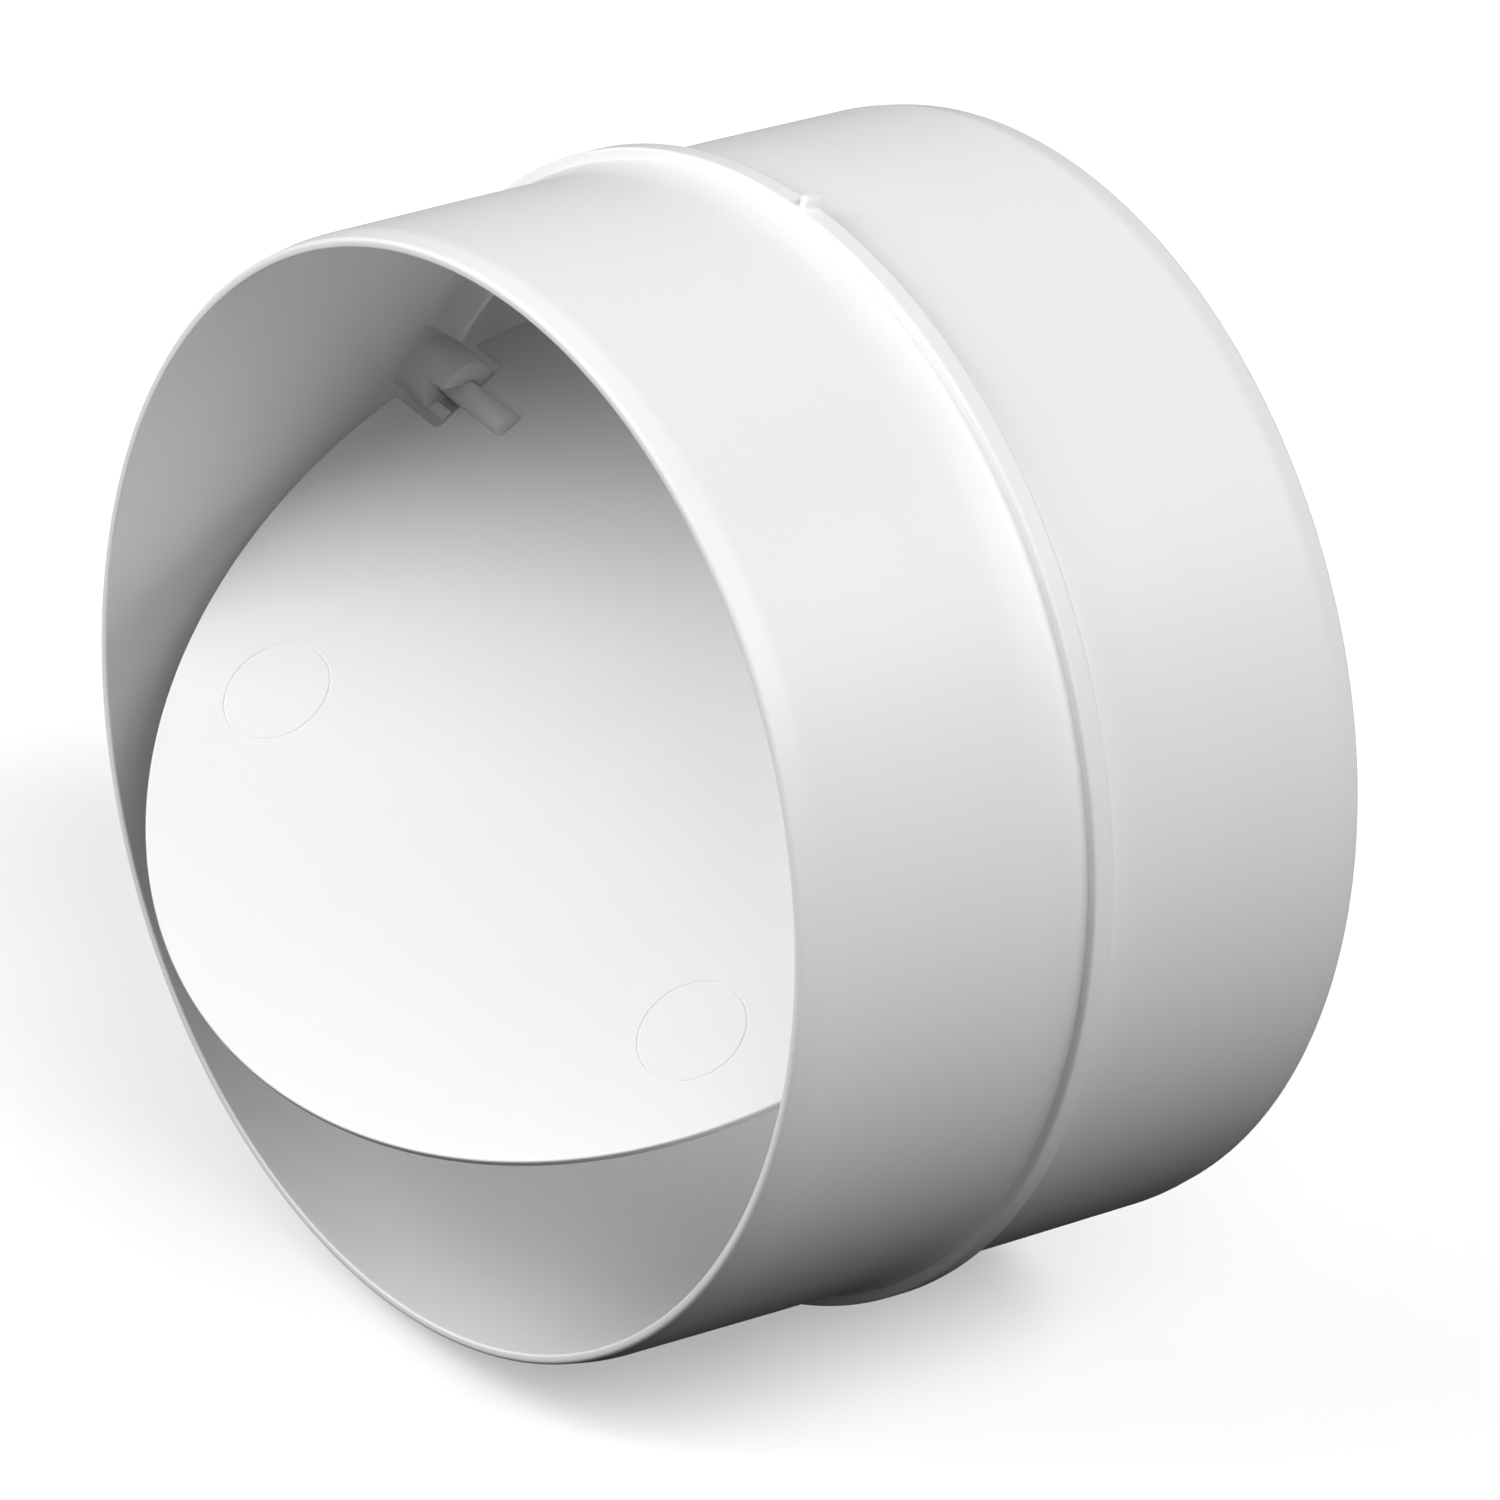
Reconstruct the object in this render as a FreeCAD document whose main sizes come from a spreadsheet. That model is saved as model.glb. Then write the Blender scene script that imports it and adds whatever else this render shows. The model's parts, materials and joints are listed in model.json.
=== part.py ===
"""Round duct connector with a non-return flap, as a parametric FreeCAD document (millimetres).

The origin is on the duct's axis, in the middle plane of the collar. +Y runs along the duct towards
the back spigot, +X runs along the flap's hinge and +Z is up. The flap's lower edge swings out
through the front spigot, which is the outlet.

Body housing: duct_body, upper_seat_rib, left_hinge_clip, right_hinge_clip.
Body flap: flap_disc, left_pivot_pin, right_pivot_pin.
"""
import FreeCAD
import Part
import math
import os
import Sketcher

SIZES = [
    # Duct body, a tube turned about the Y axis.
    ("front_length", 31.24),     # collar middle plane to the front rim
    ("back_length", 30.03),      # collar middle plane to the back rim
    ("tip_radius", 49.7),        # outside of both spigots at the rim
    ("root_radius", 49.8),       # outside of both spigots beside the collar, where a duct fits
    ("seat_length", 13.0),       # how far from the middle plane the spigots keep that radius
    ("bore_radius", 48.15),      # bore in the middle, where the rib and the clips stand
    ("rim_bore_radius", 48.45),  # bore at both rims, wider by the mould's draft
    ("straight_bore", 6.0),      # half the length of the undrafted middle of the bore
    ("lead_in_depth", 0.4),      # tapered lead-in of each spigot
    ("lead_in_length", 2.2),
    ("rim_round", 0.5),          # between the rim and the lead-in
    ("lead_in_round", 6.0),      # between the lead-in and the spigot's wall
    ("rim_inner_round", 0.25),
    ("collar_radius", 51.4),
    ("collar_width", 2.14),
    ("collar_round", 0.3),
    ("flare_length", 3.0),       # concave sweep from the front spigot up to the collar
    ("flare_round", 12.0),
    ("flare_radius", 50.45),     # where the sweep meets the collar's front face
    ("mark_width", 1.1),         # small lug that marks the top
    ("mark_across", -1.25),      # middle of the lug
    ("mark_base", 50.65),        # clear of a duct that is pushed up to the collar
    ("mark_height", 52.3),
    ("mark_front", -0.38),       # where the lug starts and ends, from the middle plane
    ("mark_back", 1.68),
    # Hinge line, parallel to X, and the flap's angle at rest.
    ("hinge_y", -0.47),
    ("hinge_height", 11.95),
    ("rest_opening", 53.0),      # degrees from the closed position
    # Flap disc.
    ("disc_radius", 46.5),
    ("disc_thickness", 0.8),
    ("disc_bevel", 0.2),
    ("notch_half_height", 4.05),
    ("notch_inner", 39.7),
    # Pivot pins, whose axis lies in the disc's front face.
    ("pin_radius", 1.25),
    ("pin_inner", 33.8),
    ("pin_outer", 46.0),
    ("pin_round", 0.3),
    # Hinge clips.
    ("clip_radius", 3.15),
    ("clip_inner", 40.1),
    ("throat_radius", 1.32),     # running fit on the pin
    ("finger_gap", 0.8),         # extra room between the pin and the springy lower finger
    ("finger_angle", 42.0),      # degrees below the front at which the finger ends
    ("lip_height", 1.1),         # underside of the upper jaw, above the hinge line
    ("window_outer", 42.5),      # the clip is open to the front only up to here
    ("clip_round", 0.3),
    # Seat rib.
    ("seat_gap", 0.15),          # left between the closed disc and the rib
    ("rib_crest_radius", 44.7),
    ("rib_crest_width", 0.65),
    ("rib_foot_width", 1.4),
    ("rib_bevel", 0.2),
    ("rib_end_clearance", 4.9),  # height of the rib's two ends above the hinge line
]

RIB_SWEEP = 210.0   # degrees the seat rib is turned through before its ends are cut level
NEAR = 1e-3         # how closely an edge must match the circle that is looked for

doc = FreeCAD.newDocument("duct_connector")
sheet = doc.addObject("Spreadsheet::Sheet", "sizes")
for row, (word, value) in enumerate(SIZES, start=1):
    sheet.set("A%d" % row, word)
    sheet.set("B%d" % row, str(value))
    sheet.setAlias("B%d" % row, word)
doc.recompute()


def size(word):
    """The value of one driving dimension."""
    return float(sheet.get(word))


def link(thing, prop, formula):
    """Bind a property to a formula in which every word of the sheet follows an @."""
    thing.setExpression(prop, formula.replace("@", "sizes."))


def new_body(name):
    body = doc.addObject("PartDesign::Body", name)
    body.Label = name
    return body


def new_sketch(body, plane, name):
    """A sketch on one of the body's own origin planes."""
    sketch = body.newObject("Sketcher::SketchObject", name)
    face = next(item for item in body.Origin.OriginFeatures if item.Role == plane)
    sketch.AttachmentSupport = [(face, "")]
    sketch.MapMode = "FlatFace"
    return sketch


def offset_sketch(body, plane, name, distance):
    """A sketch parallel to one of the body's origin planes."""
    sketch = new_sketch(body, plane, name)
    link(sketch, "AttachmentOffset.Base.z", distance)
    return sketch


def hold(sketch, geometry, point, across, up):
    """Fix a point of a sketch at two formulas, measured from the sketch's origin."""
    for kind, formula in (("DistanceX", across), ("DistanceY", up)):
        constraint = sketch.addConstraint(Sketcher.Constraint(kind, -1, 1, geometry, point, 1.0))
        link(sketch, "Constraints[%d]" % constraint, formula)


def draw_polygon(sketch, corners):
    """Draw a closed outline through corners, each a pair of formulas."""
    count = len(corners)
    spots = [FreeCAD.Vector(math.cos(math.tau * i / count), math.sin(math.tau * i / count), 0)
             for i in range(count)]
    for i in range(count):
        sketch.addGeometry(Part.LineSegment(spots[i], spots[(i + 1) % count]), False)
    for i, (across, up) in enumerate(corners):
        sketch.addConstraint(Sketcher.Constraint("Coincident", i - 1 if i else count - 1, 2, i, 1))
        hold(sketch, i, 1, across, up)


def draw_circle(sketch, across, up, radius):
    """Draw a circle whose centre and radius are formulas."""
    circle = sketch.addGeometry(Part.Circle(FreeCAD.Vector(), FreeCAD.Vector(0, 0, 1), 1.0), False)
    hold(sketch, circle, 3, across, up)
    constraint = sketch.addConstraint(Sketcher.Constraint("Radius", circle, 1.0))
    link(sketch, "Constraints[%d]" % constraint, radius)


def turn(body, sketch, axis, name, kind="Revolution", degrees=360.0):
    """Revolve a sketch, or cut it as a groove, evenly to both sides about one of its axes."""
    feature = body.newObject("PartDesign::" + kind, name)
    feature.Profile = sketch
    feature.ReferenceAxis = (sketch, [axis])
    feature.Angle = degrees
    feature.Midplane = True
    doc.recompute()
    return feature


def cut_through(body, sketch, name, length=None):
    """Cut a sketch through the whole body, or through a length, evenly to both sides, and check
    that something was removed."""
    before = body.Shape.Volume
    pocket = body.newObject("PartDesign::Pocket", name)
    pocket.Profile = sketch
    pocket.Midplane = True
    if length:
        link(pocket, "Length", length)
    else:
        pocket.Type = "ThroughAll"
    doc.recompute()
    if not body.Shape.Volume < before:
        raise RuntimeError("%s removed nothing" % name)
    return pocket


def soften(body, edges, amount, name, kind="Fillet"):
    """Round or bevel edges of the body's last feature."""
    base = body.Tip
    feature = body.newObject("PartDesign::" + kind, name)
    feature.Base = (base, edges)
    link(feature, "Radius" if kind == "Fillet" else "Size", amount)
    doc.recompute()
    return feature


def circle_edges(body, axis, radius, along):
    """Names of the body's edges that are circles of a radius, square to the X or Y axis, at a place
    along that axis."""
    names = []
    for number, edge in enumerate(body.Shape.Edges, start=1):
        curve = edge.Curve
        if not isinstance(curve, Part.Circle):
            continue
        square = abs(getattr(curve.Axis, axis)) > 0.999
        offset = abs(getattr(curve.Center, axis) - along)
        if square and offset < NEAR and abs(curve.Radius - radius) < NEAR:
            names.append("Edge%d" % number)
    if not names:
        raise RuntimeError("%s has no circle of radius %.3f at %.3f" % (body.Label, radius, along))
    return names


def make_duct_body():
    """The tube with its collar, turned in one piece, and the lug that marks the top."""
    body = new_body("duct_body")
    profile = new_sketch(body, "XY_Plane", "tube_profile")
    draw_polygon(profile, [
        ("@root_radius", "-@seat_length"),
        ("@root_radius", "-@collar_width / 2 - @flare_length"),
        ("@flare_radius", "-@collar_width / 2"),
        ("@collar_radius", "-@collar_width / 2"),
        ("@collar_radius", "@collar_width / 2"),
        ("@root_radius", "@collar_width / 2"),
        ("@root_radius", "@seat_length"),
        ("@tip_radius", "@back_length - @lead_in_length"),
        ("@tip_radius - @lead_in_depth", "@back_length"),
        ("@rim_bore_radius", "@back_length"),
        ("@bore_radius", "@straight_bore"),
        ("@bore_radius", "-@straight_bore"),
        ("@rim_bore_radius", "-@front_length"),
        ("@tip_radius - @lead_in_depth", "-@front_length"),
        ("@tip_radius", "-@front_length + @lead_in_length"),
    ])
    turn(body, profile, "V_Axis", "tube")

    front, back = -size("front_length"), size("back_length")
    tip, lead_in = size("tip_radius"), size("lead_in_length")
    rim = tip - size("lead_in_depth")
    half_collar = size("collar_width") / 2
    flare_start = -half_collar - size("flare_length")
    flare_foot = circle_edges(body, "y", size("root_radius"), flare_start)
    soften(body, flare_foot, "@flare_round", "flare_blend")
    for name, place in (("front", -half_collar), ("back", half_collar)):
        crest = circle_edges(body, "y", size("collar_radius"), place)
        soften(body, crest, "@collar_round", "collar_%s_round" % name)
    for name, rim_place, wall_place in (("front", front, front + lead_in),
                                        ("back", back, back - lead_in)):
        soften(body, circle_edges(body, "y", tip, wall_place), "@lead_in_round", name + "_lead_in")
        soften(body, circle_edges(body, "y", rim, rim_place), "@rim_round", name + "_rim_round")
        inner = circle_edges(body, "y", size("rim_bore_radius"), rim_place)
        soften(body, inner, "@rim_inner_round", name + "_inner_round")

    lug = offset_sketch(body, "YZ_Plane", "top_mark_outline", "@mark_across")
    draw_polygon(lug, [
        ("@mark_front", "@mark_base"),
        ("@mark_back", "@mark_base"),
        ("@mark_back", "@mark_height"),
        ("@mark_front", "@mark_height"),
    ])
    mark = body.newObject("PartDesign::Pad", "top_mark")
    mark.Profile = lug
    mark.Midplane = True
    link(mark, "Length", "@mark_width")
    doc.recompute()
    return body


def make_seat_rib():
    """The rib inside the top of the bore. The closed disc's upper half stops against its back."""
    body = new_body("upper_seat_rib")
    seat = "@hinge_y - @seat_gap"
    profile = new_sketch(body, "YZ_Plane", "rib_profile")
    draw_polygon(profile, [
        (seat, "@bore_radius"),
        (seat, "@rib_crest_radius"),
        (seat + " - @rib_crest_width", "@rib_crest_radius"),
        (seat + " - @rib_foot_width", "@bore_radius"),
    ])
    turn(body, profile, "H_Axis", "rib_arc", degrees=RIB_SWEEP)

    # Both ends are cut level, clear of the hinge clips.
    level = "@hinge_height + @rib_end_clearance"
    ends = new_sketch(body, "YZ_Plane", "rib_ends")
    draw_polygon(ends, [
        ("-@straight_bore", level),
        ("@straight_bore", level),
        ("@straight_bore", "-@bore_radius"),
        ("-@straight_bore", "-@bore_radius"),
    ])
    cut_through(body, ends, "rib_level_ends")

    back = size("hinge_y") - size("seat_gap")
    crest = circle_edges(body, "y", size("rib_crest_radius"), back)
    crest += circle_edges(body, "y", size("rib_crest_radius"), back - size("rib_crest_width"))
    soften(body, crest, "@rib_bevel", "rib_crest_bevel", kind="Chamfer")
    return body


def make_hinge_clip(name, side):
    """A round boss on the bore wall with a hole for a pivot pin. Its inner end is open to the front
    like a C, with a thick upper jaw and a thin lower finger."""
    body = new_body(name)
    outline = new_sketch(body, "YZ_Plane", name + "_outline")
    draw_circle(outline, "@hinge_y", "@hinge_height", "@clip_radius")
    boss = body.newObject("PartDesign::Pad", name + "_boss")
    boss.Profile = outline
    boss.Reversed = side < 0
    link(boss, "Length", "@bore_radius")
    doc.recompute()

    hole = new_sketch(body, "YZ_Plane", name + "_hole_outline")
    draw_circle(hole, "@hinge_y", "@hinge_height", "@throat_radius")
    cut_through(body, hole, name + "_hole")
    throat = new_sketch(body, "YZ_Plane", name + "_throat_outline")
    draw_circle(throat, "@hinge_y - @finger_gap * cos(@finger_angle * 1 deg)",
                "@hinge_height - @finger_gap * sin(@finger_angle * 1 deg)", "@throat_radius")
    cut_through(body, throat, name + "_throat", length="@window_outer * 2")
    mouth = new_sketch(body, "YZ_Plane", name + "_mouth_outline")
    draw_polygon(mouth, [
        ("@hinge_y", "@hinge_height"),
        ("@hinge_y", "@hinge_height + @lip_height"),
        ("@hinge_y - 2 * @clip_radius", "@hinge_height + @lip_height"),
        ("@hinge_y - 2 * @clip_radius",
         "@hinge_height - 2 * @clip_radius * tan(@finger_angle * 1 deg)"),
    ])
    cut_through(body, mouth, name + "_mouth", length="@window_outer * 2")

    # The outer end follows the bore, and the inner end is flat.
    trim = new_sketch(body, "XY_Plane", name + "_trim_outline")
    draw_polygon(trim, [
        ("@bore_radius", "-@straight_bore"),
        ("@bore_radius + @clip_radius", "-@straight_bore"),
        ("@bore_radius + @clip_radius", "@straight_bore"),
        ("@bore_radius", "@straight_bore"),
    ])
    turn(body, trim, "V_Axis", name + "_bore_trim", kind="Groove")
    inner = new_sketch(body, "XZ_Plane", name + "_inner_outline")
    draw_polygon(inner, [
        ("-@clip_inner", "0"),
        ("@clip_inner", "0"),
        ("@clip_inner", "@hinge_height * 2"),
        ("-@clip_inner", "@hinge_height * 2"),
    ])
    cut_through(body, inner, name + "_inner_end")
    end = circle_edges(body, "x", size("clip_radius"), side * size("clip_inner"))
    soften(body, end, "@clip_round", name + "_end_round")
    return body


def place_on_hinge(body):
    """Move a piece drawn closed about its own X axis to the hinge line, at the rest opening."""
    body.Placement = FreeCAD.Placement(FreeCAD.Vector(), FreeCAD.Rotation(FreeCAD.Vector(-1, 0, 0), 1))
    link(body, "Placement.Base.y", "@hinge_y")
    link(body, "Placement.Base.z", "@hinge_height")
    link(body, "Placement.Rotation.Angle", "@rest_opening")


def make_flap_disc():
    """The disc, drawn closed with the hinge line as its own X axis and its front face at Y = 0."""
    body = new_body("flap_disc")
    outline = new_sketch(body, "XZ_Plane", "disc_outline")
    draw_circle(outline, "0", "-@hinge_height", "@disc_radius")
    disc = body.newObject("PartDesign::Pad", "disc")
    disc.Profile = outline
    disc.Reversed = True
    link(disc, "Length", "@disc_thickness")
    doc.recompute()
    rim = []
    for place in (0.0, size("disc_thickness")):
        rim += circle_edges(body, "y", size("disc_radius"), place)
    soften(body, rim, "@disc_bevel", "disc_edge_bevel", kind="Chamfer")

    for side, sign in (("left", "-"), ("right", "")):
        notch = new_sketch(body, "XZ_Plane", side + "_notch_outline")
        draw_polygon(notch, [
            (sign + "@notch_inner", "-@notch_half_height"),
            (sign + "@disc_radius * 1.1", "-@notch_half_height"),
            (sign + "@disc_radius * 1.1", "@notch_half_height"),
            (sign + "@notch_inner", "@notch_half_height"),
        ])
        cut_through(body, notch, side + "_notch")
    place_on_hinge(body)
    return body


def make_pivot_pin(name, side):
    """A round pin whose root lies on the disc's front face and whose free end turns in a hinge clip."""
    body = new_body(name)
    start = "@pin_inner" if side > 0 else "-@pin_inner"
    outline = offset_sketch(body, "YZ_Plane", name + "_outline", start)
    draw_circle(outline, "0", "0", "@pin_radius")
    pin = body.newObject("PartDesign::Pad", name + "_pad")
    pin.Profile = outline
    pin.Reversed = side < 0
    link(pin, "Length", "@pin_outer - @pin_inner")
    doc.recompute()

    # Over the disc only the half that stands proud of its front face is left.
    flat = new_sketch(body, "XY_Plane", name + "_flat_outline")
    sign = "" if side > 0 else "-"
    draw_polygon(flat, [
        (sign + "@pin_inner / 2", "0"),
        (sign + "@notch_inner", "0"),
        (sign + "@notch_inner", "@pin_radius * 2"),
        (sign + "@pin_inner / 2", "@pin_radius * 2"),
    ])
    cut_through(body, flat, name + "_flat")
    end = circle_edges(body, "x", size("pin_radius"), side * size("pin_outer"))
    soften(body, end, "@pin_round", name + "_end_round")
    place_on_hinge(body)
    return body


def check_document(bodies):
    """Stop if any object failed to recompute or any piece isn't one valid solid."""
    doc.recompute()
    for item in doc.Objects:
        if "Invalid" in item.State or "Error" in item.State:
            raise RuntimeError("%s failed: %s" % (item.Name, item.State))
    for body in bodies:
        shape = body.Shape
        if shape.isNull() or not shape.isValid() or len(shape.Solids) != 1:
            raise RuntimeError("%s isn't one valid solid" % body.Label)


bodies = [
    make_duct_body(),
    make_seat_rib(),
    make_hinge_clip("left_hinge_clip", side=-1),
    make_hinge_clip("right_hinge_clip", side=1),
    make_flap_disc(),
    make_pivot_pin("left_pivot_pin", side=-1),
    make_pivot_pin("right_pivot_pin", side=1),
]
check_document(bodies)
os.makedirs("parts", exist_ok=True)
for body in bodies:
    body.Shape.exportStep(os.path.join("parts", body.Label + ".step"))
    print("%-18s %9.1f mm3" % (body.Label, body.Shape.Volume))
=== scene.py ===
"""Looks of a round plastic duct connector with a non-return flap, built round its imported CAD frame.

Every length in this script is in metres. The duct's axis is Y with its open front at -Y, the flap's
hinge runs along X and Z is up. All pieces are white moulded plastic: the duct body with its collar,
a seat rib and two hinge clips ride on the housing, and the disc with two pivot pins on the flap.
"""

import json
import math

import bmesh
import bpy
from mathutils import Matrix, Vector, geometry


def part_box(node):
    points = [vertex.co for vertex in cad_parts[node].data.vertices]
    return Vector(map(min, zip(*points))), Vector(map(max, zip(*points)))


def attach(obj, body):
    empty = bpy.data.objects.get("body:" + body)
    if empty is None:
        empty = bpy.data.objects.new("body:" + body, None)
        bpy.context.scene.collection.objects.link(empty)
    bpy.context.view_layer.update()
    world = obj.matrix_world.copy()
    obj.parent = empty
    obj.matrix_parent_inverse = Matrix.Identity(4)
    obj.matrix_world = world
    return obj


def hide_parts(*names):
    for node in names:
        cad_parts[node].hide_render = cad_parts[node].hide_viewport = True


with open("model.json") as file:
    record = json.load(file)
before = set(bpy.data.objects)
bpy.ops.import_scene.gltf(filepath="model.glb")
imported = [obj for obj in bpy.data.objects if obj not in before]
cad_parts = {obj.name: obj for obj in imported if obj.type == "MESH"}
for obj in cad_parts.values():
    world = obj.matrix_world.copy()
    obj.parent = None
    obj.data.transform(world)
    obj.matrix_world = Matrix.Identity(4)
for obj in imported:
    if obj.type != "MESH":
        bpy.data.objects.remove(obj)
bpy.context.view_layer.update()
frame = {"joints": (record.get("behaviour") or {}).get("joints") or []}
MM = 0.001

# Sizes that the frame gives.
BODY_LOW, BODY_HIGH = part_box("duct_body")
RIB_LOW, RIB_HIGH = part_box("upper_seat_rib")
CLIP_LOW, CLIP_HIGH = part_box("right_hinge_clip")
PIN_LOW, PIN_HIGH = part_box("right_pivot_pin")
DISC_LOW, DISC_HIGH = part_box("flap_disc")
SWING = next(joint for joint in frame["joints"] if joint["name"] == "flap_swing")
HINGE = Vector(SWING["pos_m"])
REST_OPENING = math.radians(-SWING["range_deg"][0])

FRONT_RIM = BODY_LOW.y
BACK_RIM = BODY_HIGH.y
COLLAR_RADIUS = BODY_HIGH.x
BORE_RADIUS = RIB_HIGH.z
DISC_RADIUS = (DISC_HIGH.x - DISC_LOW.x) / 2
CLIP_RADIUS = (CLIP_HIGH.z - CLIP_LOW.z) / 2

# Duct body.
TIP_RADIUS = 49.7 * MM
ROOT_RADIUS = 49.8 * MM
SEAT_LENGTH = 13.0 * MM         # how far from the middle plane the spigots keep the root's radius
RIM_BORE_RADIUS = 48.45 * MM
STRAIGHT_BORE = 6.0 * MM
LEAD_IN_DEPTH = 0.4 * MM
LEAD_IN_LENGTH = 2.2 * MM
LEAD_IN_ROUND = 6.0 * MM
RIM_ROUND = 0.5 * MM
RIM_INNER_ROUND = 0.22 * MM
DRAFT_ROUND = 60.0 * MM         # where a straight wall starts to be drafted
HALF_COLLAR = 1.07 * MM
COLLAR_ROUND = 0.3 * MM
COLLAR_FOOT_ROUND = 0.2 * MM
FLARE_LENGTH = 3.0 * MM
FLARE_RADIUS = 50.45 * MM
FLARE_ROUND = 12.0 * MM
FLARE_CORNER_ROUND = 0.05 * MM
MARK_SIZE = Vector((1.1, 2.06, 1.65)) * MM
MARK_ACROSS = -1.25 * MM
MARK_START = -0.38 * MM
MARK_ROUND = 0.28 * MM

# Seat rib and hinge clips.
RIB_CREST_RADIUS = 44.7 * MM
RIB_CREST_WIDTH = 0.65 * MM
RIB_BACK_ROUND = 0.2 * MM
RIB_FRONT_ROUND = 0.25 * MM
RIB_FOOT_HEIGHT = 0.5 * MM      # how high and how long the rib's hollow foot is
RIB_FOOT_ROUND = 1.5 * MM
RIB_FOOT_DIP = 0.05 * MM        # how far the foot's end dips into the wall
EMBED = 0.2 * MM                # how far the rib and clips are sunk into the duct's wall
THROAT_RADIUS = 1.32 * MM
WINDOW_OUTER = 42.5 * MM        # the clips are open to the front only up to here
CLIP_FILLET = 0.8 * MM          # where a clip grows out of the duct's wall
FINGER_GAP = 0.8 * MM
FINGER_ANGLE = math.radians(42)
LIP_HEIGHT = 1.1 * MM
CLIP_EDGE_ROUND = 0.12 * MM

# Flap.
DISC_THICKNESS = 0.8 * MM
DISC_ROUND = 0.2 * MM
NOTCH_HALF_HEIGHT = 4.05 * MM
NOTCH_INNER = 39.7 * MM
NOTCH_CORNER = 0.5 * MM
PIN_RADIUS = 1.25 * MM
PIN_SUNK = 0.1 * MM             # how far a pin's root is sunk into the disc
PIN_ROOT_ROUND = 0.35 * MM
PIN_TIP_ROUND = 0.3 * MM
EJECTOR_RADIUS = 5.0 * MM
EJECTOR_ACROSS = 30.1 * MM
EJECTOR_DOWN = 31.4 * MM        # from the hinge line along the disc
EJECTOR_GROOVE = 0.25 * MM      # width of the witness line
EJECTOR_DEPTH = 0.08 * MM

# Stage.
FLOOR_HALF_SIZE = 3.9
DOME_RADIUS = 4.0

# How finely curves are divided.
LATHE_SEGMENTS = 288
ARC_STEPS = 7
FILLET_STEPS = 6
BOSS_STEPS = 80                 # a clip's outer arc
THROAT_STEPS = 28
SLIT_STEPS = 14
MOUTH_STEPS = 16                # a clip's outer arc across its window
MOUTH_HOLE_STEPS = 24
DISC_TOP_STEPS = 150
DISC_BOTTOM_STEPS = 250
EJECTOR_POINTS = 72
PIN_POINTS = 48
SUPPORT = 0.12 * MM             # how near a flat's end its supporting edge loop lies


# Outlines -----------------------------------------------------------------------------------------

def rounded_outline(corners, steps=ARC_STEPS):
    """A closed outline with rounded corners, from (x, y, radius) corners.

    Each long straight run also gets a point near both of its ends, which keeps it flat when the
    mesh is shaded smooth."""
    count = len(corners)
    arcs = []
    for i, (x, y, radius) in enumerate(corners):
        corner = Vector((x, y))
        before = (Vector(corners[i - 1][:2]) - corner).normalized()
        after = (Vector(corners[(i + 1) % count][:2]) - corner).normalized()
        inside = before.angle(after)
        reach = radius / math.tan(inside / 2)
        if radius <= 0 or inside > math.pi - 1e-4:
            arcs.append([corner])
            continue
        centre = corner + (before + after).normalized() * radius / math.sin(inside / 2)
        start = corner + before * reach - centre
        sweep = start.angle_signed(corner + after * reach - centre)
        turns = [Matrix.Rotation(-sweep * k / steps, 2) for k in range(steps + 1)]
        arcs.append([centre + turn @ start for turn in turns])
    points = []
    for i, arc in enumerate(arcs):
        points += arc
        last, following = arc[-1], arcs[(i + 1) % count][0]
        run = following - last
        if run.length > 5 * SUPPORT:
            step = run.normalized() * SUPPORT
            points += [last + step, following - step]
    return points


def arc_points(centre, radius, start, end, steps):
    """Points of an arc in a plane, with angles in radians."""
    return [Vector((centre[0] + radius * math.cos(start + (end - start) * k / steps),
                    centre[1] + radius * math.sin(start + (end - start) * k / steps)))
            for k in range(steps + 1)]


def circle_points(centre, radius, count):
    """Evenly spaced points of a circle in a plane."""
    return arc_points(centre, radius, 0, math.tau * (count - 1) / count, count - 1)


# Mesh helpers -------------------------------------------------------------------------------------

def new_piece(name, mesh_builder, body, material, replaced):
    """Turn a finished bmesh into a smooth piece that rides on a body and stands for a CAD node."""
    bmesh.ops.recalc_face_normals(mesh_builder, faces=mesh_builder.faces)
    mesh = bpy.data.meshes.new(name)
    mesh_builder.to_mesh(mesh)
    mesh_builder.free()
    mesh.polygons.foreach_set("use_smooth", [True] * len(mesh.polygons))
    mesh.set_sharp_from_angle(angle=math.radians(35))
    mesh.materials.append(material)
    piece = bpy.data.objects.new(name, mesh)
    bpy.context.scene.collection.objects.link(piece)
    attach(piece, body)
    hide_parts(replaced)
    return piece


def bridge_loops(builder, loops, closed=True):
    """Join rings of the same number of vertices with quads; closed also joins last to first."""
    pairs = list(zip(loops, loops[1:])) + ([(loops[-1], loops[0])] if closed else [])
    for one, other in pairs:
        for i in range(len(one)):
            j = (i + 1) % len(one)
            builder.faces.new((one[i], one[j], other[j], other[i]))


def lathe(builder, profile, segments=LATHE_SEGMENTS):
    """Turn a closed outline of (radius, along) points once round the Y axis."""
    rings = []
    for k in range(segments):
        angle = math.tau * k / segments
        rings.append([builder.verts.new((p.x * math.cos(angle), p.y, p.x * math.sin(angle)))
                      for p in profile])
    bridge_loops(builder, rings)


def unite(first, second):
    """The union of two closed bmeshes."""
    solids = []
    for builder in (first, second):
        bmesh.ops.recalc_face_normals(builder, faces=builder.faces)
        mesh = bpy.data.meshes.new("part_of_union")
        builder.to_mesh(mesh)
        builder.free()
        solid = bpy.data.objects.new("part_of_union", mesh)
        bpy.context.scene.collection.objects.link(solid)
        solids.append(solid)
    union = solids[0].modifiers.new("union", "BOOLEAN")
    union.operation = "UNION"
    union.solver = "EXACT"
    union.object = solids[1]
    joined = bpy.data.meshes.new_from_object(
        solids[0].evaluated_get(bpy.context.evaluated_depsgraph_get()))
    result = bmesh.new()
    result.from_mesh(joined)
    for mesh in [joined] + [solid.data for solid in solids]:
        bpy.data.meshes.remove(mesh)
    return result


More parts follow.
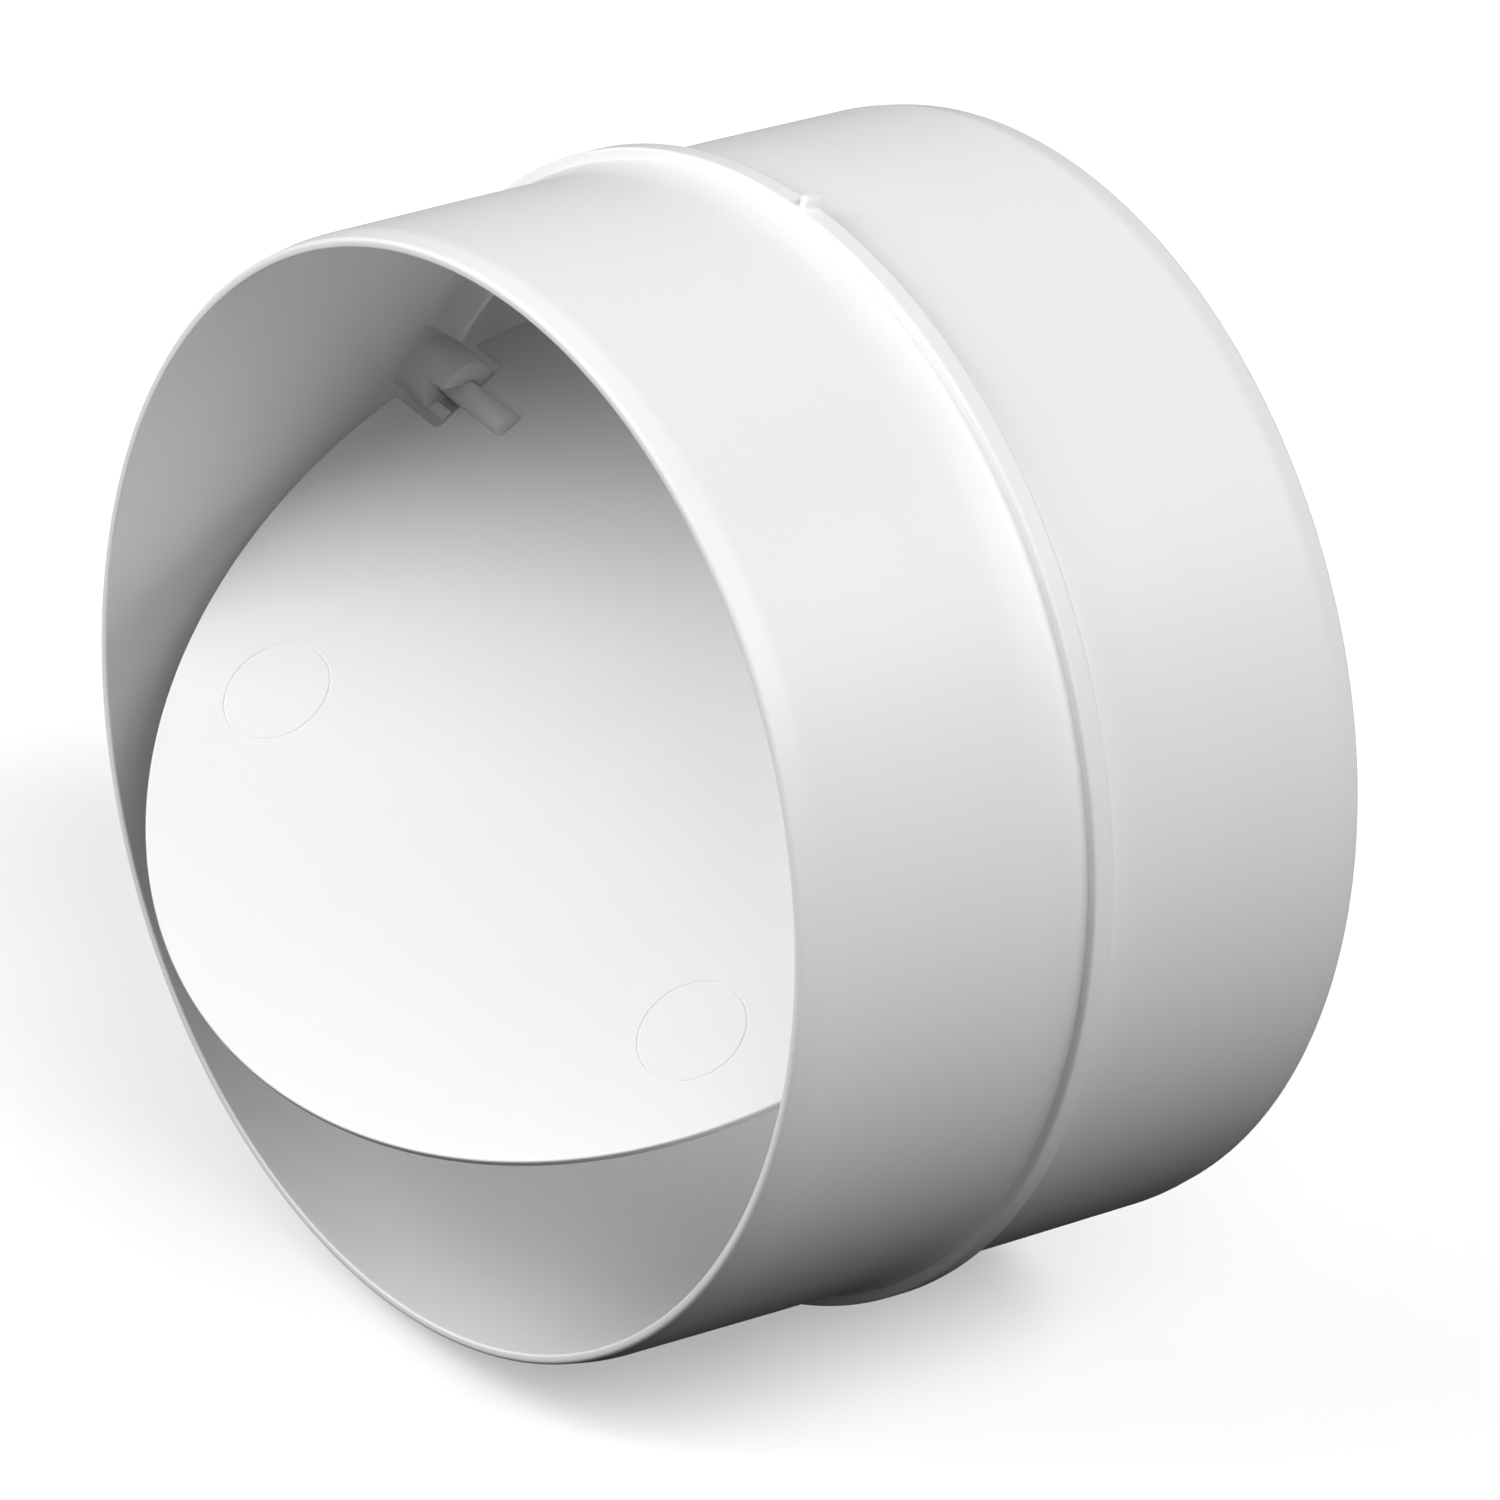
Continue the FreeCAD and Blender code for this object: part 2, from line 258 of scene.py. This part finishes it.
# Pieces of the housing ----------------------------------------------------------------------------

def make_duct_body(material):
    """The turned tube with its collar, and the small lug that marks the top."""
    half, rim = HALF_COLLAR, TIP_RADIUS - LEAD_IN_DEPTH
    profile = rounded_outline([
        (rim, FRONT_RIM, RIM_ROUND),
        (TIP_RADIUS, FRONT_RIM + LEAD_IN_LENGTH, LEAD_IN_ROUND),
        (ROOT_RADIUS, -SEAT_LENGTH, DRAFT_ROUND),
        (ROOT_RADIUS, -half - FLARE_LENGTH, FLARE_ROUND),
        (FLARE_RADIUS, -half, FLARE_CORNER_ROUND),
        (COLLAR_RADIUS, -half, COLLAR_ROUND),
        (COLLAR_RADIUS, half, COLLAR_ROUND),
        (ROOT_RADIUS, half, COLLAR_FOOT_ROUND),
        (ROOT_RADIUS, SEAT_LENGTH, DRAFT_ROUND),
        (TIP_RADIUS, BACK_RIM - LEAD_IN_LENGTH, LEAD_IN_ROUND),
        (rim, BACK_RIM, RIM_ROUND),
        (RIM_BORE_RADIUS, BACK_RIM, RIM_INNER_ROUND),
        (BORE_RADIUS, STRAIGHT_BORE, DRAFT_ROUND),
        (BORE_RADIUS, -STRAIGHT_BORE, DRAFT_ROUND),
        (RIM_BORE_RADIUS, FRONT_RIM, RIM_INNER_ROUND),
    ])
    tube = bmesh.new()
    lathe(tube, profile)
    lug = bmesh.new()
    block = bmesh.ops.create_cube(lug, size=1.0)["verts"]
    centre = Vector((MARK_ACROSS, MARK_START + MARK_SIZE.y / 2, BODY_HIGH.z - MARK_SIZE.z / 2))
    bmesh.ops.scale(lug, vec=MARK_SIZE, verts=block)
    bmesh.ops.translate(lug, vec=centre, verts=block)
    bmesh.ops.bevel(lug, geom=lug.edges[:], offset=MARK_ROUND, segments=4, affect="EDGES", profile=0.5)
    united = unite(tube, lug)
    return new_piece("duct_body_shell", united, "housing", material, "duct_body")


def make_seat_rib(name, node, material):
    """A rib inside the top of the bore whose two ends are level, with a rounded crest and a hollow
    foot."""
    sunk = BORE_RADIUS + EMBED
    profile = rounded_outline([
        (sunk, RIB_HIGH.y, 0),
        (RIB_CREST_RADIUS, RIB_HIGH.y, RIB_BACK_ROUND),
        (RIB_CREST_RADIUS, RIB_HIGH.y - RIB_CREST_WIDTH, RIB_FRONT_ROUND),
        (BORE_RADIUS - RIB_FOOT_HEIGHT, RIB_LOW.y, RIB_FOOT_ROUND),
        (BORE_RADIUS + RIB_FOOT_DIP, RIB_LOW.y - RIB_FOOT_HEIGHT, 0),
        (sunk, RIB_LOW.y - RIB_FOOT_HEIGHT, 0),
    ])
    builder = bmesh.new()
    steps = LATHE_SEGMENTS // 2
    loops = []
    for k in range(steps + 1):
        loop = []
        for p in profile:
            first = math.asin(RIB_LOW.z / p.x)
            angle = first + (math.pi - 2 * first) * k / steps
            loop.append(builder.verts.new((p.x * math.cos(angle), p.y, p.x * math.sin(angle))))
        loops.append(loop)
    bridge_loops(builder, loops, closed=False)
    builder.faces.new(loops[0])
    builder.faces.new(loops[-1])
    return new_piece(name, builder, "housing", material, node)


def make_hinge_clip(name, node, material, side):
    """A boss that grows out of the bore wall, with a hole for the pin. Its inner end is open to the
    front like a C: a thick upper jaw over a window, and a thin lower finger.

    Angles go round the hinge line from the front downwards."""
    inner = CLIP_LOW.x
    builder = bmesh.new()

    def spot(radius, angle, along, drop=0.0):
        """A point at a polar place in the clip's section, drop being how far its centre is moved
        towards the finger's end."""
        y = HINGE.y - radius * math.cos(angle) - drop * math.cos(FINGER_ANGLE)
        z = HINGE.z - radius * math.sin(angle) - drop * math.sin(FINGER_ANGLE)
        x = along if along is not None else math.sqrt((BORE_RADIUS + EMBED) ** 2 - z ** 2)
        return builder.verts.new((side * x, y, z))

    def angles(start, end, steps, first=True, last=True):
        """Evenly spaced angles from start to end, with or without the two ends."""
        row = [start + (end - start) * k / steps for k in range(steps + 1)]
        return row[0 if first else 1:None if last else -1]

    jaw = -math.asin(LIP_HEIGHT / CLIP_RADIUS)
    lip = -math.asin(LIP_HEIGHT / THROAT_RADIUS)
    meet = FINGER_ANGLE + math.acos(FINGER_GAP / 2 / THROAT_RADIUS)
    slack = math.pi - math.acos(FINGER_GAP / 2 / THROAT_RADIUS) + FINGER_ANGLE

    def section(along):
        """The C section: its outer arc, then its inside from the lip round to the finger's end."""
        outer = [spot(CLIP_RADIUS, a, along)
                 for a in angles(FINGER_ANGLE, math.tau + jaw, BOSS_STEPS)]
        over = [spot(THROAT_RADIUS, a, along)
                for a in angles(math.tau + lip, meet, THROAT_STEPS)]
        under = [spot(THROAT_RADIUS, a, along, FINGER_GAP)
                 for a in angles(slack, FINGER_ANGLE, SLIT_STEPS, first=False)]
        return outer, over, under

    def wall(one, other):
        """Quads between two open rows of the same number of vertices."""
        for i in range(len(one) - 1):
            builder.faces.new((one[i], one[i + 1], other[i + 1], other[i]))

    near, far = section(inner), section(WINDOW_OUTER)
    near_loop = near[0] + near[1] + near[2]
    far_loop = far[0] + far[1] + far[2]
    wall(near_loop + near_loop[:1], far_loop + far_loop[:1])
    end_face = builder.faces.new(near_loop)

    # The window's end wall, between the open inner end and the closed ring.
    front_arc = [spot(CLIP_RADIUS, a, WINDOW_OUTER)
                 for a in angles(jaw, FINGER_ANGLE, MOUTH_STEPS, first=False, last=False)]
    front_hole = [spot(THROAT_RADIUS, a, WINDOW_OUTER)
                  for a in angles(meet, lip, MOUTH_HOLE_STEPS, first=False, last=False)]
    step = [far[0][-1]] + front_arc + [far[0][0]] + far[2][::-1] + [far[1][-1]] + front_hole
    step_face = builder.faces.new(step + [far[1][0]])

    # The closed ring, from the window to the wall of the duct.
    ring = far[0] + front_arc
    ring_angles = angles(FINGER_ANGLE, math.tau + jaw, BOSS_STEPS)
    ring_angles += angles(math.tau + jaw, math.tau + FINGER_ANGLE, MOUTH_STEPS,
                          first=False, last=False)
    hole = far[1] + front_hole
    hole_angles = angles(math.tau + lip, meet, THROAT_STEPS)
    hole_angles += angles(meet, lip, MOUTH_HOLE_STEPS, first=False, last=False)
    turns = [math.pi / 2 * k / FILLET_STEPS for k in range(FILLET_STEPS)]
    fillet = [(CLIP_FILLET * (1 - math.cos(turn)), EMBED + CLIP_FILLET * (1 - math.sin(turn)))
              for turn in turns] + [(CLIP_FILLET, 0.0)]
    for spread, short in fillet:
        loop = [spot(CLIP_RADIUS + spread, a, None) for a in ring_angles]
        for vert in loop:
            vert.co.x -= side * short
        wall(ring + ring[:1], loop + loop[:1])
        ring = loop
    bottom = [spot(THROAT_RADIUS, a, None) for a in hole_angles]
    wall(hole + hole[:1], bottom + bottom[:1])
    return finish_clip(name, node, material, builder, (end_face, step_face), (ring, bottom))


def finish_clip(name, node, material, builder, flats, mouths):
    """Close a clip's outer end, which lies hidden in the duct's wall, and soften its edges."""
    edges = []
    for loop in mouths:
        edges += [builder.edges.get((loop[i - 1], loop[i])) for i in range(len(loop))]
    bmesh.ops.bridge_loops(builder, edges=edges)
    bmesh.ops.recalc_face_normals(builder, faces=builder.faces)
    soft = {edge for flat in flats for edge in flat.edges}
    bmesh.ops.bevel(builder, geom=list(soft), offset=CLIP_EDGE_ROUND, segments=3, affect="EDGES",
                    profile=0.5, clamp_overlap=True)
    return new_piece(name, builder, "housing", material, node)


# Pieces of the flap -------------------------------------------------------------------------------

OPEN = Matrix.Translation(HINGE) @ Matrix.Rotation(-REST_OPENING, 4, "X")


def disc_outline(inset):
    """The disc's outline in its own plane, drawn in from its edge, with the hinge line as X axis."""
    radius = DISC_RADIUS - inset
    half, inner = NOTCH_HALF_HEIGHT + inset, NOTCH_INNER - inset
    centre = Vector((0, -HINGE.z))
    top = math.asin((half - centre.y) / radius)
    bottom = math.asin((-half - centre.y) / radius)
    corner_x, corner_y = -inner - NOTCH_CORNER, half - NOTCH_CORNER
    left = arc_points((corner_x, corner_y), NOTCH_CORNER, math.pi / 2, 0, FILLET_STEPS)
    left += arc_points((corner_x, -corner_y), NOTCH_CORNER, 0, -math.pi / 2, FILLET_STEPS)
    points = arc_points(centre, radius, top, math.pi - top, DISC_TOP_STEPS)
    points += left
    points += arc_points(centre, radius, math.pi - bottom, math.tau + bottom, DISC_BOTTOM_STEPS)
    right = [Vector((-p.x, p.y)) for p in reversed(left)]
    return points + right


def make_flap_disc(material):
    """The disc with rounded edges, its two notches and the two faint ejector marks on its front."""
    rings = []
    for k in range(ARC_STEPS + 1):
        turn = math.pi / 2 * k / ARC_STEPS
        rings.append((DISC_ROUND * (1 - math.sin(turn)), DISC_ROUND * (1 - math.cos(turn))))
    stack = [(DISC_ROUND + SUPPORT, 0.0)] + rings
    stack += [(inset, DISC_THICKNESS - depth) for inset, depth in reversed(rings)]
    stack += [(DISC_ROUND + SUPPORT, DISC_THICKNESS)]
    builder = bmesh.new()
    loops = [[builder.verts.new((p.x, depth, p.y)) for p in disc_outline(inset)]
             for inset, depth in stack]
    bridge_loops(builder, loops, closed=False)
    builder.faces.new(reversed(loops[-1]))
    fill_front(builder, loops[0])
    builder.transform(OPEN)
    return new_piece("flap_disc_plate", builder, "flap", material, "flap_disc")


def fill_front(builder, edge_loop):
    """Fill the disc's front face round two shallow witness rings."""
    points = [Vector((vert.co.x, vert.co.z)) for vert in edge_loop]
    depths = [0.0] * len(points)
    borders = [(i, (i + 1) % len(points)) for i in range(len(points))]
    # The groove's section in half widths and depths, with flat rings beside it that keep it crisp.
    groove = [(-3.0, 0.0), (-1.4, 0.0), (-1.0, 0.0), (-0.5, 0.7), (0.0, 1.0), (0.5, 0.7), (1.0, 0.0),
              (1.4, 0.0), (3.0, 0.0)]
    for across in (-EJECTOR_ACROSS, EJECTOR_ACROSS):
        for offset, depth in groove:
            ring = circle_points((across, -EJECTOR_DOWN),
                                 EJECTOR_RADIUS + offset * EJECTOR_GROOVE / 2, EJECTOR_POINTS)
            first = len(points)
            points += ring
            depths += [depth * EJECTOR_DEPTH] * len(ring)
            borders += [(first + i, first + (i + 1) % len(ring)) for i in range(len(ring))]
    verts, _, faces, originals, _, _ = geometry.delaunay_2d_cdt(
        [p / MM for p in points], borders, [], 1, 1e-6)
    placed = []
    for flat, sources in zip(verts, originals):
        source = sources[0] if sources else 0
        if source < len(edge_loop):
            placed.append(edge_loop[source])
        else:
            placed.append(builder.verts.new((flat.x * MM, depths[source], flat.y * MM)))
    for face in faces:
        builder.faces.new([placed[i] for i in face])


def make_pivot_pin(name, node, material, side):
    """A pin that stands half proud of the disc's front, then runs free across the notch."""
    inner, outer = PIN_LOW.x, PIN_HIGH.x
    turns = [math.pi / 2 * k / 5 for k in range(6)]
    builder = bmesh.new()

    # The half-round root on the disc, with a softly rounded inner end.
    stations = [(PIN_ROOT_ROUND * (1 - math.cos(turn)),
                 PIN_RADIUS - PIN_ROOT_ROUND * (1 - math.sin(turn))) for turn in turns]
    stations += [(NOTCH_INNER - inner, PIN_RADIUS)]
    root = []
    for reach, radius in stations:
        arc = arc_points((0, 0), radius, 0, math.pi, PIN_POINTS // 2)
        loop = [(-p.y, p.x) for p in arc] + [(PIN_SUNK, -radius), (PIN_SUNK, radius)]
        root.append([builder.verts.new((side * (inner + reach), y, z)) for y, z in loop])
    bridge_loops(builder, root, closed=False)
    builder.faces.new(root[0])
    builder.faces.new(root[-1])

    # The free end, a full cylinder with a rounded tip.
    tip = outer - PIN_TIP_ROUND
    stations = [(NOTCH_INNER, PIN_RADIUS), (tip - SUPPORT, PIN_RADIUS)]
    stations += [(tip + PIN_TIP_ROUND * math.sin(turn),
                  PIN_RADIUS - PIN_TIP_ROUND * (1 - math.cos(turn))) for turn in turns]
    free = []
    for reach, radius in stations:
        free.append([builder.verts.new((side * reach, p.x, p.y))
                     for p in circle_points((0, 0), radius, PIN_POINTS)])
    bridge_loops(builder, free, closed=False)
    builder.faces.new(free[0])
    builder.faces.new(free[-1])
    builder.transform(OPEN)
    return new_piece(name, builder, "flap", material, node)


# Materials ----------------------------------------------------------------------------------------

def moulded_plastic(name, tone, roughness):
    """White moulded plastic: a fine spark-eroded grain, faint mottling and patchy gloss."""
    material = bpy.data.materials.new(name)
    material.use_nodes = True
    nodes, links = material.node_tree.nodes, material.node_tree.links
    shader = nodes["Principled BSDF"]
    shader.inputs["IOR"].default_value = 1.5
    shader.inputs["Specular IOR Level"].default_value = 0.45
    place = nodes.new("ShaderNodeTexCoord").outputs["Object"]

    mottle = nodes.new("ShaderNodeTexNoise")
    mottle.inputs["Scale"].default_value = 45.0
    mottle.inputs["Detail"].default_value = 3.0
    tint = nodes.new("ShaderNodeMapRange")
    tint.inputs["To Min"].default_value = tone * 0.985
    tint.inputs["To Max"].default_value = tone * 1.01
    links.new(place, mottle.inputs["Vector"])
    links.new(mottle.outputs["Fac"], tint.inputs["Value"])
    links.new(tint.outputs["Result"], shader.inputs["Base Color"])

    gloss = nodes.new("ShaderNodeTexNoise")
    gloss.inputs["Scale"].default_value = 140.0
    gloss.inputs["Detail"].default_value = 4.0
    rough = nodes.new("ShaderNodeMapRange")
    rough.inputs["To Min"].default_value = roughness - 0.05
    rough.inputs["To Max"].default_value = roughness + 0.06
    links.new(place, gloss.inputs["Vector"])
    links.new(gloss.outputs["Fac"], rough.inputs["Value"])
    links.new(rough.outputs["Result"], shader.inputs["Roughness"])

    grain = nodes.new("ShaderNodeTexNoise")
    grain.inputs["Scale"].default_value = 2600.0
    grain.inputs["Detail"].default_value = 2.0
    bump = nodes.new("ShaderNodeBump")
    bump.inputs["Strength"].default_value = 0.12
    bump.inputs["Distance"].default_value = 0.02 * MM
    links.new(place, grain.inputs["Vector"])
    links.new(grain.outputs["Fac"], bump.inputs["Height"])
    links.new(bump.outputs["Normal"], shader.inputs["Normal"])
    return material


def pale_floor():
    """A matt floor that glows a little, so that it looks as pale as the backdrop."""
    material = bpy.data.materials.new("pale_floor")
    material.use_nodes = True
    shader = material.node_tree.nodes["Principled BSDF"]
    shader.inputs["Base Color"].default_value = (0.9, 0.9, 0.9, 1)
    shader.inputs["Roughness"].default_value = 0.9
    shader.inputs["Specular IOR Level"].default_value = 0.1
    shader.inputs["Emission Color"].default_value = (1, 1, 1, 1)
    shader.inputs["Emission Strength"].default_value = 0.36
    return material


def pale_backdrop():
    """A backdrop that is lit only by its own even glow."""
    material = bpy.data.materials.new("pale_backdrop")
    material.use_nodes = True
    shader = material.node_tree.nodes["Principled BSDF"]
    shader.inputs["Base Color"].default_value = (0, 0, 0, 1)
    shader.inputs["Specular IOR Level"].default_value = 0.0
    shader.inputs["Emission Color"].default_value = (1, 1, 1, 1)
    shader.inputs["Emission Strength"].default_value = 0.9
    return material


# Studio -------------------------------------------------------------------------------------------

def make_stage():
    """A pale floor that the collar rests on, and a pale dome round it. Only the camera sees them, so
    they throw no light up at the underside; the floor still takes the object's soft shadow."""
    floor_shape = bmesh.new()
    bmesh.ops.create_grid(floor_shape, x_segments=8, y_segments=8, size=FLOOR_HALF_SIZE)
    dome_shape = bmesh.new()
    bmesh.ops.create_uvsphere(dome_shape, u_segments=64, v_segments=32, radius=DOME_RADIUS)
    for name, builder, place, material in (
            ("floor", floor_shape, (0, 0, BODY_LOW.z), pale_floor()),
            ("backdrop", dome_shape, (0, 0, 0), pale_backdrop())):
        mesh = bpy.data.meshes.new(name)
        builder.to_mesh(mesh)
        builder.free()
        mesh.materials.append(material)
        stage = bpy.data.objects.new(name, mesh)
        stage.location = place
        stage.visible_diffuse = False
        stage.visible_glossy = False
        stage.visible_shadow = False
        bpy.context.scene.collection.objects.link(stage)


def add_softbox(name, azimuth, elevation, distance, size, power):
    """A square light that faces the object from a direction: azimuth 0 is the front, 90 the right."""
    light = bpy.data.lights.new(name, "AREA")
    light.shape = "SQUARE"
    light.size = size
    light.energy = power
    lamp = bpy.data.objects.new(name, light)
    across, up = math.radians(azimuth), math.radians(elevation)
    direction = Vector((math.sin(across) * math.cos(up), -math.cos(across) * math.cos(up),
                        math.sin(up)))
    lamp.location = direction * distance
    lamp.rotation_euler = direction.to_track_quat("Z", "Y").to_euler()
    bpy.context.scene.collection.objects.link(lamp)


def make_world():
    """A faint even fill from all round."""
    world = bpy.data.worlds.new("studio")
    bpy.context.scene.world = world
    world.use_nodes = True
    world.node_tree.nodes["Background"].inputs["Color"].default_value = (1, 1, 1, 1)
    world.node_tree.nodes["Background"].inputs["Strength"].default_value = 0.02


def make_camera():
    """A long lens from the right front and above, rolled a little."""
    azimuth, elevation, roll = math.radians(47.35), math.radians(30.28), math.radians(9.83)
    distance = 1.2948
    aim = Vector((3.4, 0.08, -0.4)) * MM
    back = Vector((math.sin(azimuth) * math.cos(elevation), -math.cos(azimuth) * math.cos(elevation),
                   math.sin(elevation)))
    data = bpy.data.cameras.new("camera")
    data.sensor_width = 36.0
    data.lens = 358.7
    data.clip_start = 0.05
    data.clip_end = 20.0
    camera = bpy.data.objects.new("camera", data)
    camera.location = aim + back * distance
    level = back.to_track_quat("Z", "Y").to_matrix()
    camera.rotation_euler = (level @ Matrix.Rotation(roll, 3, "Z")).to_euler()
    bpy.context.scene.collection.objects.link(camera)
    bpy.context.scene.camera = camera


make_camera()
housing_plastic = moulded_plastic("housing_plastic_white", 0.86, 0.42)
flap_plastic = moulded_plastic("flap_plastic_white", 0.88, 0.38)
make_duct_body(housing_plastic)
make_seat_rib("upper_seat_rib_moulding", "upper_seat_rib", housing_plastic)
make_hinge_clip("left_hinge_clip_moulding", "left_hinge_clip", housing_plastic, side=-1)
make_hinge_clip("right_hinge_clip_moulding", "right_hinge_clip", housing_plastic, side=1)
make_flap_disc(flap_plastic)
make_pivot_pin("left_pivot_pin_moulding", "left_pivot_pin", flap_plastic, side=-1)
make_pivot_pin("right_pivot_pin_moulding", "right_pivot_pin", flap_plastic, side=1)

make_stage()
make_world()
add_softbox("left_softbox", azimuth=-60, elevation=20, distance=1.5, size=0.8, power=7.6)
add_softbox("front_softbox", azimuth=-25, elevation=29, distance=1.5, size=1.0, power=15.6)
add_softbox("right_softbox", azimuth=72, elevation=45, distance=1.5, size=1.0, power=9.6)
add_softbox("back_softbox", azimuth=120, elevation=50, distance=1.5, size=0.8, power=11.4)
bpy.context.scene.view_settings.view_transform = "Standard"
